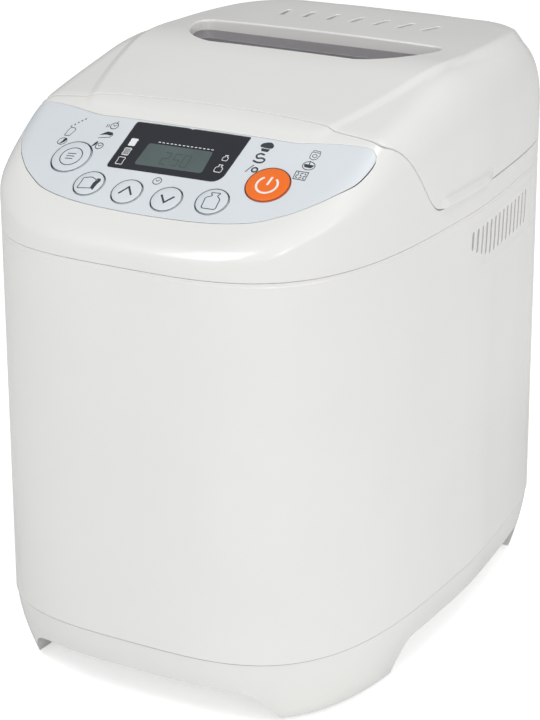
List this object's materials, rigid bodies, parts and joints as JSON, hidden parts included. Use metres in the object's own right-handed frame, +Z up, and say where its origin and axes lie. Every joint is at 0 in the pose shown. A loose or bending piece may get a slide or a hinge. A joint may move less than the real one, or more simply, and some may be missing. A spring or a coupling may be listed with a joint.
{
  "type": "bread machine",
  "caption": "Household bread machine with hinged windowed lid, sloping key panel, removable pan with bail handle, heater loop and belt-driven kneading paddle.",
  "frame": {"origin": "on the table under the middle of the machine", "axes": "+Z up, the control panel faces -Y, +X to the right-hand side of a person facing the panel"},
  "size_m": [0.2276, 0.328, 0.3225],
  "materials": {
    "white_shell": "glossy white moulded ABS with a faint mould texture",
    "overlay_film": "pale blue-grey satin film",
    "display_slate": "glossy dark slate window",
    "window_glass": "smoked glass",
    "key_grey": "satin pale blue-grey keycap",
    "key_orange": "satin orange keycap",
    "rubber": "matt black rubber",
    "silicone": "soft grey silicone",
    "belt_rubber": "black ribbed belt",
    "steel_sheet": "bright zinc-plated sheet steel",
    "steel_rod": "drawn steel",
    "element_steel": "dark oxidised heater sheath",
    "nonstick": "dark grey non-stick coating",
    "brass": "plain brass",
    "black_plastic": "black moulded plastic",
    "circuit_board": "green solder mask"
  },
  "bodies": {
    "root": {"base_tray": "white_shell", "body_shell": "white_shell", "upper_frame": "white_shell", "foot_front_left": "rubber", "foot_front_right": "rubber", "foot_rear_left": "rubber", "foot_rear_right": "rubber", "cord_gland": "black_plastic", "hinge_pin_left": "steel_rod", "hinge_pin_right": "steel_rod", "panel_overlay": "overlay_film", "display_window": "display_slate", "lcd_module": "black_plastic", "control_board": "circuit_board", "baking_chamber": "steel_sheet", "chamber_bracket_left": "steel_sheet", "chamber_bracket_right": "steel_sheet", "heating_element": "element_steel", "element_clip_left": "steel_sheet", "element_clip_right": "steel_sheet", "temperature_sensor": "steel_rod", "thermal_fuse": "brass", "pan_socket": "steel_sheet", "bearing_housing": "steel_sheet", "drive_belt": "belt_rubber", "motor_bracket": "steel_sheet", "motor_housing": "steel_sheet", "motor_capacitor": "black_plastic", "power_board": "circuit_board"},
    "lid": {"lid_cover": "white_shell", "lid_liner": "steel_sheet", "lid_seal": "silicone", "window_glass_outer": "window_glass", "window_glass_inner": "window_glass"},
    "pan": {"bread_pan": "nonstick", "pan_bush": "brass"},
    "handle": {"pan_handle": "steel_rod"},
    "paddle": {"paddle_shaft": "steel_rod", "kneading_paddle": "nonstick"},
    "drive": {"drive_shaft": "steel_rod", "drive_coupling": "black_plastic", "large_pulley": "black_plastic"},
    "motor": {"motor_shaft": "steel_rod", "motor_pulley": "steel_rod", "cooling_fan": "black_plastic"},
    "key_menu": {"key_menu": "key_grey"},
    "key_browning": {"key_browning": "key_grey"},
    "key_up": {"key_up": "key_grey"},
    "key_down": {"key_down": "key_grey"},
    "key_weight": {"key_weight": "key_grey"},
    "key_start": {"key_start": "key_orange"}
  },
  "joints": [
    {"name": "lid_hinge", "type": "hinge", "parent": "root", "child": "lid", "pos_m": [0, 0.1614, 0.2596], "axis": [-1, 0, 0], "range_deg": [0, 85]},
    {"name": "pan_lift", "type": "slide", "parent": "root", "child": "pan", "axis": [0, 0, 1], "range_m": [0, 0.016]},
    {"name": "handle_swing", "type": "hinge", "parent": "pan", "child": "handle", "pos_m": [0, 0.034, 0.233], "axis": [1, 0, 0], "range_deg": [0, 11]},
    {"name": "drive_spin", "type": "hinge", "parent": "root", "child": "drive", "pos_m": [0, 0.034, 0.05], "axis": [0, 0, 1], "continuous": true},
    {"name": "motor_spin", "type": "hinge", "parent": "root", "child": "motor", "pos_m": [0, -0.105, 0.05], "axis": [0, 0, 1], "continuous": true},
    {"name": "paddle_spin", "type": "hinge", "parent": "pan", "child": "paddle", "pos_m": [0, 0.034, 0.12], "axis": [0, 0, 1], "continuous": true},
    {"name": "key_menu_press", "type": "slide", "parent": "root", "child": "key_menu", "axis": [0.0385, 0.5071, -0.861], "range_m": [0, 0.0006], "stiffness_N_per_m": 300},
    {"name": "key_browning_press", "type": "slide", "parent": "root", "child": "key_browning", "axis": [0.0173, 0.5074, -0.8615], "range_m": [0, 0.0006], "stiffness_N_per_m": 300},
    {"name": "key_up_press", "type": "slide", "parent": "root", "child": "key_up", "axis": [0.0031, 0.5075, -0.8616], "range_m": [0, 0.0006], "stiffness_N_per_m": 300},
    {"name": "key_down_press", "type": "slide", "parent": "root", "child": "key_down", "axis": [-0.0017, 0.5075, -0.8616], "range_m": [0, 0.0006], "stiffness_N_per_m": 300},
    {"name": "key_weight_press", "type": "slide", "parent": "root", "child": "key_weight", "axis": [-0.015, 0.5075, -0.8616], "range_m": [0, 0.0006], "stiffness_N_per_m": 300},
    {"name": "key_start_press", "type": "slide", "parent": "root", "child": "key_start", "axis": [-0.0361, 0.5072, -0.8611], "range_m": [0, 0.0006], "stiffness_N_per_m": 300}
  ],
  "couplings": [
    {"joint": "motor_spin", "follows": "drive_spin", "ratio": 5},
    {"joint": "paddle_spin", "follows": "drive_spin", "ratio": 1}
  ]
}
